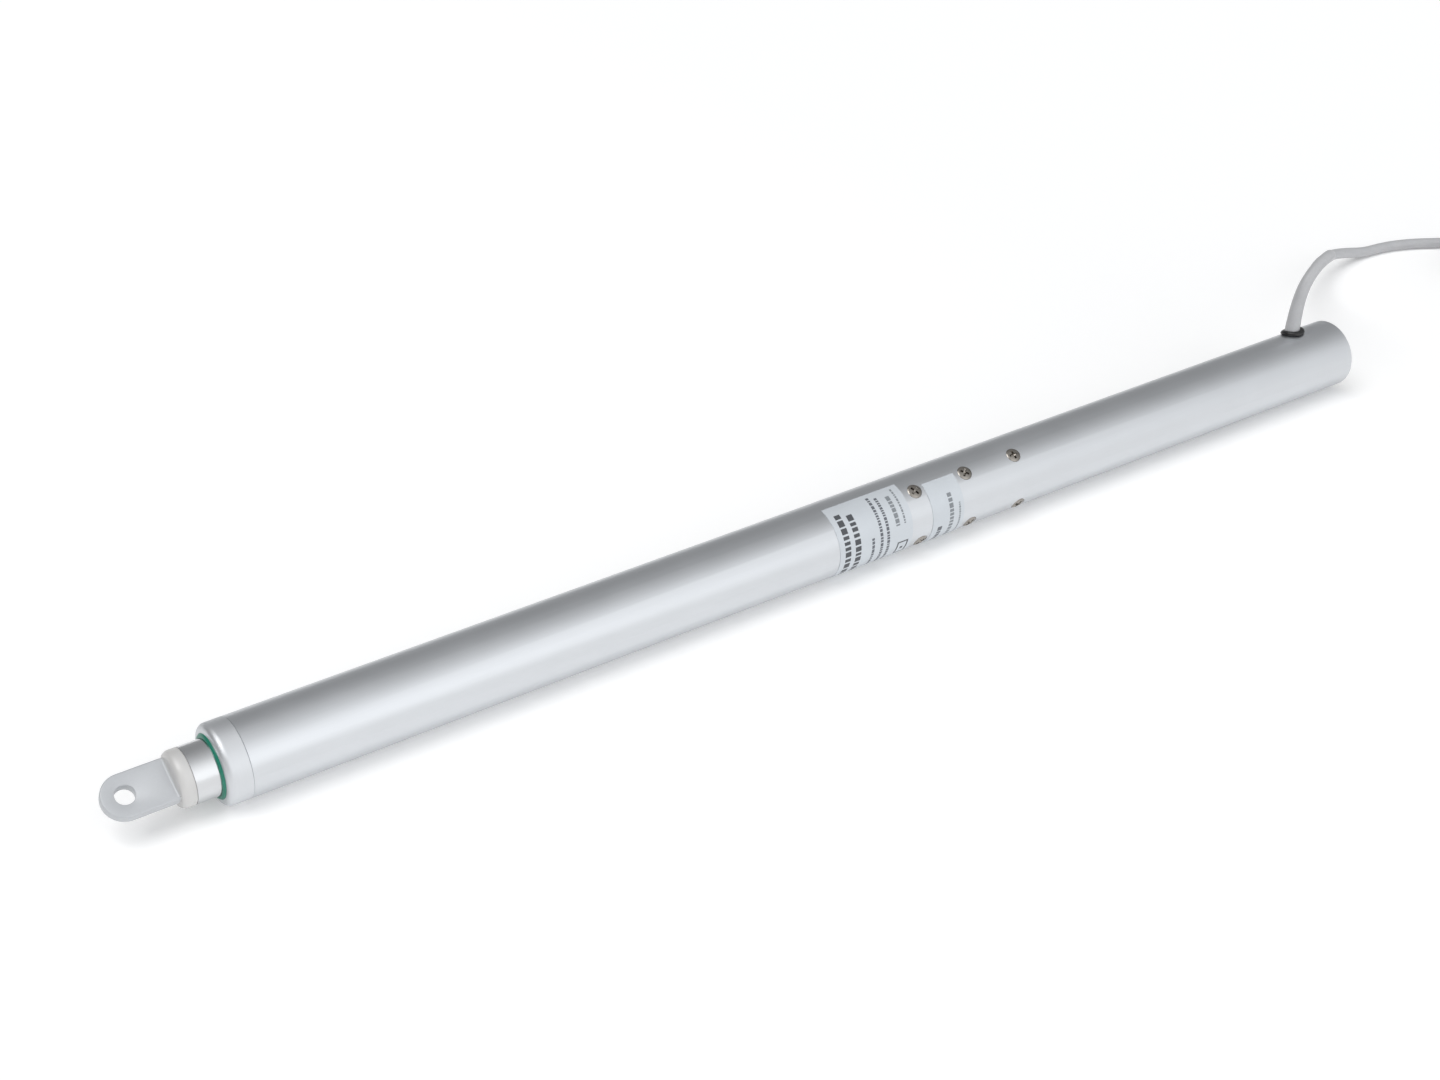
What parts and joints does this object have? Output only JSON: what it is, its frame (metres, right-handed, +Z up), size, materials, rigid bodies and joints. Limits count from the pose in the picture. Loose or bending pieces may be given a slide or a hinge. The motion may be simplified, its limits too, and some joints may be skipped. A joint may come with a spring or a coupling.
{
  "type": "tubular linear actuator",
  "caption": "Slim tubular electric spindle actuator: a push tube with a flat eye slides out of a capped aluminium tube that holds the motor, gears and screw; grey cable at the rear.",
  "frame": {"origin": "on the surface that the tube rests on, under the middle of the retracted actuator's length and width", "axes": "+X along the push tube's travel, towards the eye; +Z up; +Y to the left when looking along +X"},
  "size_m": [0.9686, 0.1908, 0.0736],
  "materials": {
    "anodised_aluminium": "satin anodised",
    "drawn_push_tube": "satin, drawn along its length",
    "cast_eye": "fine cast finish, light grey",
    "bright_screws": "bright",
    "label_film": "satin silver film with grey print",
    "green_seal": "satin",
    "black_rubber": "satin",
    "grey_cable": "satin",
    "lead_cores": "satin",
    "acetal": "smooth",
    "bronze": "machined",
    "ground_steel": "ground",
    "machined_aluminium": "machined",
    "elastic_spider": "smooth",
    "gear_steel": "machined",
    "zinc_can": "zinc plated",
    "ferrite": "sintered",
    "core_iron": "stamped",
    "copper": "enamelled and turned",
    "black_plastic": "moulded",
    "green_board": "solder resist",
    "capacitor_can": "sleeved",
    "terminal_plastic": "moulded"
  },
  "bodies": {
    "housing": {"bearing_balls": "ground_steel", "bearing_circlip": "ground_steel", "bearing_housing": "machined_aluminium", "bearing_outer_rings": "ground_steel", "bearing_spacer": "ground_steel", "board_capacitors": "capacitor_can", "board_relays": "black_plastic", "board_supports": "acetal", "cable": "grey_cable", "cable_coil": "grey_cable", "cable_end": "grey_cable", "cable_grommet": "black_rubber", "cable_inner_end": "grey_cable", "cable_sleeve": "grey_cable", "circuit_board": "green_board", "end_stops": "black_rubber", "front_cap": "anodised_aluminium", "gearbox_flange": "machined_aluminium", "guide_bush": "acetal", "housing_screws": "bright_screws", "housing_tube": "anodised_aluminium", "lead_ends": "lead_cores", "motor_brushes": "copper", "motor_can": "zinc_can", "motor_end_bell": "black_plastic", "motor_leads": "lead_cores", "motor_magnets": "ferrite", "motor_plate": "gear_steel", "rating_label": "label_film", "rear_plug": "acetal", "ring_gear": "gear_steel", "rod_seal": "black_rubber", "sintered_bushes": "bronze", "terminal_block": "terminal_plastic", "wiper_seal": "green_seal", "wiring_label": "label_film"},
    "rod": {"push_tube": "drawn_push_tube", "rod_eye": "cast_eye", "spindle_nut": "bronze", "guide_ring": "acetal"},
    "spindle": {"spindle": "ground_steel", "spindle_tip_guide": "acetal", "bearing_inner_rings": "ground_steel", "spindle_lock_nut": "ground_steel", "coupling_spindle_half": "machined_aluminium", "coupling_gear_half": "machined_aluminium", "coupling_spider": "elastic_spider", "output_carrier": "gear_steel"},
    "input_carrier": {"input_carrier": "gear_steel"},
    "rotor": {"motor_pinion": "gear_steel", "motor_shaft": "ground_steel", "armature_core": "core_iron", "armature_windings": "copper", "commutator": "copper"},
    "output_planet_1": {"output_planet_1": "gear_steel"},
    "output_planet_2": {"output_planet_2": "gear_steel"},
    "output_planet_3": {"output_planet_3": "gear_steel"},
    "input_planet_1": {"input_planet_1": "gear_steel"},
    "input_planet_2": {"input_planet_2": "gear_steel"},
    "input_planet_3": {"input_planet_3": "gear_steel"}
  },
  "joints": [
    {"name": "rod_slide", "type": "slide", "parent": "housing", "child": "rod", "axis": [1, 0, 0], "range_m": [0, 0.3]},
    {"name": "spindle_spin", "type": "hinge", "parent": "housing", "child": "spindle", "pos_m": [0.09345, 0, 0.018], "axis": [-1, 0, 0], "range_deg": [0, 36010]},
    {"name": "input_carrier_spin", "type": "hinge", "parent": "housing", "child": "input_carrier", "pos_m": [-0.13455, 0, 0.018], "axis": [-1, 0, 0], "range_deg": [0, 158410]},
    {"name": "motor_spin", "type": "hinge", "parent": "housing", "child": "rotor", "pos_m": [-0.18155, 0, 0.018], "axis": [-1, 0, 0], "range_deg": [0, 696970]},
    {"name": "output_planet_1_spin", "type": "hinge", "parent": "spindle", "child": "output_planet_1", "pos_m": [-0.12705, 0.00825, 0.018], "axis": [-1, 0, 0], "range_deg": [-102010, 0]},
    {"name": "output_planet_2_spin", "type": "hinge", "parent": "spindle", "child": "output_planet_2", "pos_m": [-0.12705, -0.00413, 0.02514], "axis": [-1, 0, 0], "range_deg": [-102010, 0]},
    {"name": "output_planet_3_spin", "type": "hinge", "parent": "spindle", "child": "output_planet_3", "pos_m": [-0.12705, -0.00413, 0.01086], "axis": [-1, 0, 0], "range_deg": [-102010, 0]},
    {"name": "input_planet_1_spin", "type": "hinge", "parent": "input_carrier", "child": "input_planet_1", "pos_m": [-0.14005, 0.00825, 0.018], "axis": [-1, 0, 0], "range_deg": [-448810, 0]},
    {"name": "input_planet_2_spin", "type": "hinge", "parent": "input_carrier", "child": "input_planet_2", "pos_m": [-0.14005, -0.00413, 0.02514], "axis": [-1, 0, 0], "range_deg": [-448810, 0]},
    {"name": "input_planet_3_spin", "type": "hinge", "parent": "input_carrier", "child": "input_planet_3", "pos_m": [-0.14005, -0.00413, 0.01086], "axis": [-1, 0, 0], "range_deg": [-448810, 0]}
  ],
  "couplings": [
    {"joint": "spindle_spin", "follows": "rod_slide", "rad_per_m": 2094.4},
    {"joint": "input_carrier_spin", "follows": "rod_slide", "rad_per_m": 9215.3},
    {"joint": "motor_spin", "follows": "rod_slide", "rad_per_m": 40547},
    {"joint": "output_planet_1_spin", "follows": "rod_slide", "rad_per_m": -5934.1},
    {"joint": "output_planet_2_spin", "follows": "rod_slide", "rad_per_m": -5934.1},
    {"joint": "output_planet_3_spin", "follows": "rod_slide", "rad_per_m": -5934.1},
    {"joint": "input_planet_1_spin", "follows": "rod_slide", "rad_per_m": -26110},
    {"joint": "input_planet_2_spin", "follows": "rod_slide", "rad_per_m": -26110},
    {"joint": "input_planet_3_spin", "follows": "rod_slide", "rad_per_m": -26110}
  ]
}
